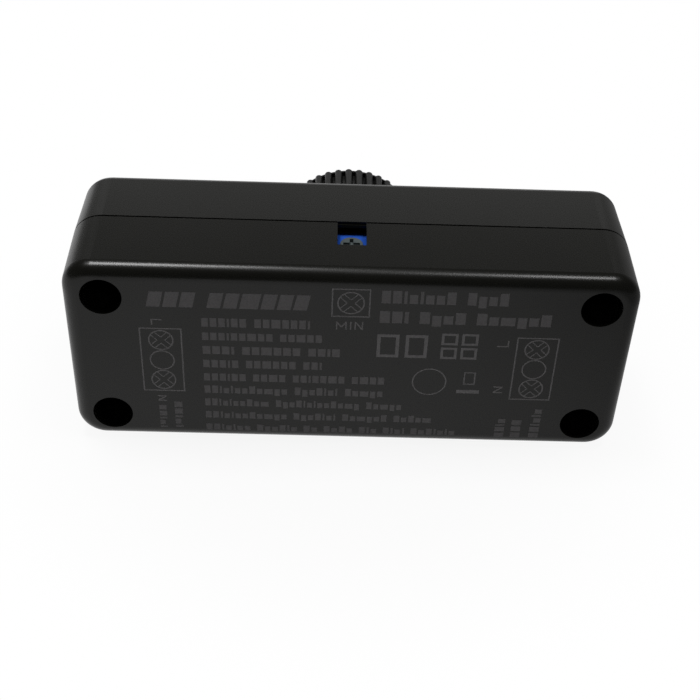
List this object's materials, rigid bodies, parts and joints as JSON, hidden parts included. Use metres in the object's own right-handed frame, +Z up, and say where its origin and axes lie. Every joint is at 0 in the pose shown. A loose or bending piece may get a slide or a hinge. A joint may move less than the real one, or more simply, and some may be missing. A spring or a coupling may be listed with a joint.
{
  "type": "inline rotary LED dimmer switch",
  "caption": "Black two-shell inline cord dimmer with a ribbed rotary knob, a recessed minimum-level adjuster in its side window, cord entries at both ends and screw wells below.",
  "frame": {"origin": "on the ground, in the middle of the footprint of case and knob, with the dimmer standing on its plain long side", "axes": "+X along the case from the input cord to the output cord, +Y from the underside to the knob, +Z up through the side with the adjuster window"},
  "size_m": [0.09, 0.0398, 0.035],
  "materials": {
    "case_plastic": "satin black moulded ABS",
    "knob_plastic": "satin black moulded ABS",
    "clamp_plastic": "black nylon",
    "board": "green-coated glass-epoxy board",
    "green_plastic": "green polyamide",
    "blue_plastic": "blue polyamide",
    "trimmer_blue": "blue glass-filled moulding",
    "trimmer_white": "grey-white acetal",
    "screw_steel": "zinc-plated steel",
    "tinned_metal": "tinned copper alloy",
    "shaft_metal": "turned aluminium",
    "phenolic": "brown laminate",
    "black_resin": "moulded black resin",
    "white_plastic": "natural acetal",
    "can_sleeve": "dark blue shrink sleeve over aluminium",
    "film_box": "yellow polyester box",
    "ferrite": "sintered ferrite",
    "copper_wire": "enamelled copper",
    "varistor_coat": "blue epoxy coat",
    "fuse_case": "brown moulded case"
  },
  "bodies": {
    "casing": {"bottom_shell": "case_plastic", "top_shell": "case_plastic", "case_screws": "screw_steel", "cord_clamp_input": "clamp_plastic", "cord_clamp_output": "clamp_plastic", "clamp_screws": "screw_steel", "circuit_board": "board", "board_screws": "screw_steel", "input_terminal_housing": "green_plastic", "output_terminal_housing": "blue_plastic", "terminal_cages": "tinned_metal", "terminal_screws": "screw_steel", "pot_housing": "black_resin", "pot_track": "phenolic", "pot_cover": "tinned_metal", "pot_pins": "tinned_metal", "trimmer_body": "trimmer_blue", "trimmer_pins": "tinned_metal", "electrolytic_capacitor": "can_sleeve", "film_capacitor": "film_box", "choke_core": "ferrite", "choke_winding": "copper_wire", "varistor": "varistor_coat", "fuse": "fuse_case", "power_transistors": "black_resin", "control_chip": "black_resin", "bridge_rectifier": "black_resin", "chip_resistors": "black_resin"},
    "dial": {"knob": "knob_plastic", "pot_shaft": "shaft_metal", "wiper_carrier": "white_plastic", "wiper_contact": "tinned_metal"},
    "adjuster": {"trimmer_rotor": "trimmer_white"}
  },
  "joints": [
    {"name": "knob_turn", "type": "hinge", "parent": "casing", "child": "dial", "pos_m": [-0.0002, 0.0079, 0.0175], "axis": [0, -1, 0], "range_deg": [0, 300]},
    {"name": "adjuster_turn", "type": "hinge", "parent": "casing", "child": "adjuster", "pos_m": [-0.0002, -0.0085, 0.03255], "axis": [0, 0, -1], "range_deg": [-117.5, 117.5]}
  ]
}
